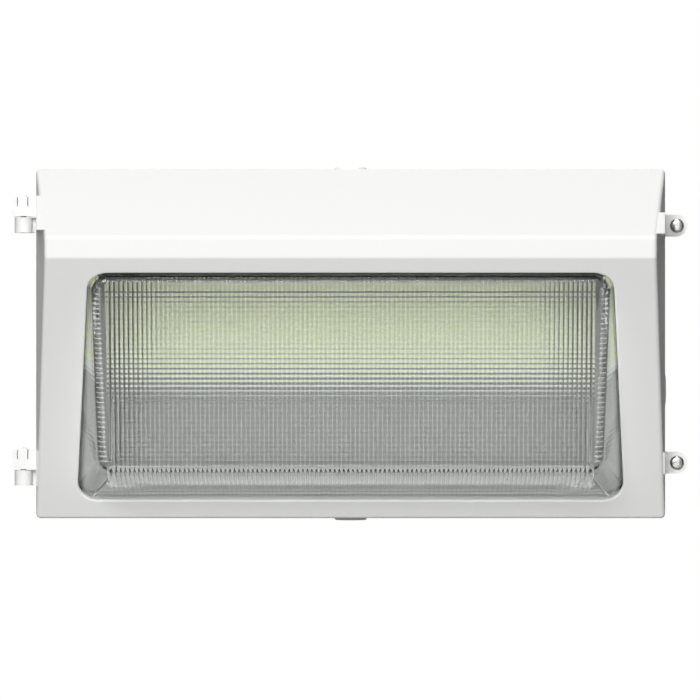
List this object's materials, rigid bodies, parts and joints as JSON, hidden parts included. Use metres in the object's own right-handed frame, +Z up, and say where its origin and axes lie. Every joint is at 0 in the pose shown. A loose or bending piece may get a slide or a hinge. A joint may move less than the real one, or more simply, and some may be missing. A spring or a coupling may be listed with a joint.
{
  "type": "wall pack light",
  "caption": "Wide outdoor wall light: a cast box that stands on the wall, and a hinged front with sloped faces and a prismatic glass over LED boards.",
  "frame": {"origin": "centre of the housing's flat back, on the wall", "axes": "+Z up, +X to the right seen from the front, -Y out from the wall"},
  "size_m": [0.4612, 0.181, 0.2432],
  "materials": {
    "white_coat": "fine matt white powder coat on die-cast aluminium",
    "foam": "closed-cell foam",
    "seal_rubber": "matt moulded silicone",
    "pin_steel": "ground steel",
    "bare_aluminium": "plain extruded aluminium",
    "zinc_screw": "zinc plated",
    "bright_screw": "satin stainless",
    "white_board": "white solder mask",
    "phosphor": "yellow phosphor under clear resin",
    "white_plastic": "satin moulded",
    "clip_steel": "rolled sheet steel",
    "grey_sheet": "satin grey paint on sheet",
    "driver_sheet": "folded sheet",
    "black_plastic": "satin moulded",
    "green_screw": "green passivated",
    "cream_plastic": "satin moulded",
    "lead_black": "smooth insulation",
    "lead_white": "smooth insulation",
    "lead_red": "smooth insulation",
    "lead_blue": "smooth insulation",
    "lens_glass": "clear pressed borosilicate with prisms"
  },
  "bodies": {
    "housing": {"rear_housing": "white_coat", "conduit_plug_top": "white_coat", "conduit_plug_bottom": "white_coat", "conduit_plug_right": "white_coat", "wall_gasket": "foam", "plug_seals": "seal_rubber", "lead_grommet": "seal_rubber", "hinge_pins": "pin_steel", "led_heatsink": "bare_aluminium", "heatsink_screws": "zinc_screw", "board_screws": "zinc_screw", "clamp_screws": "zinc_screw", "tray_screws": "zinc_screw", "driver_screws": "zinc_screw", "surge_screw": "zinc_screw", "terminal_fixing_screw": "zinc_screw", "terminal_screws": "zinc_screw", "led_board_left": "white_board", "led_board_right": "white_board", "led_chips": "phosphor", "board_jumper": "white_plastic", "lead_connector": "white_plastic", "board_clamp_left": "clip_steel", "board_clamp_right": "clip_steel", "ground_tag": "clip_steel", "reflector_tray": "grey_sheet", "driver_case": "driver_sheet", "driver_end_caps": "black_plastic", "surge_protector": "black_plastic", "ground_screw": "green_screw", "terminal_block": "cream_plastic", "line_lead": "lead_black", "neutral_lead": "lead_white", "dc_lead_positive": "lead_red", "dc_lead_negative": "lead_blue"},
    "door": {"door_frame": "white_coat", "door_gasket": "seal_rubber", "glass_refractor": "lens_glass", "glass_gasket": "seal_rubber", "glass_clips": "clip_steel", "glass_clip_screws": "zinc_screw"},
    "closure_upper": {"closure_screw_upper": "bright_screw"},
    "closure_lower": {"closure_screw_lower": "bright_screw"}
  },
  "joints": [
    {"name": "door_hinge", "type": "hinge", "parent": "housing", "child": "door", "pos_m": [-0.224, -0.072, 0], "axis": [0, 0, -1], "range_deg": [0, 110]},
    {"name": "closure_upper_slide", "type": "slide", "parent": "door", "child": "closure_upper", "axis": [0, -1, 0], "range_m": [0, 0.006]},
    {"name": "closure_lower_slide", "type": "slide", "parent": "door", "child": "closure_lower", "axis": [0, -1, 0], "range_m": [0, 0.006]}
  ]
}
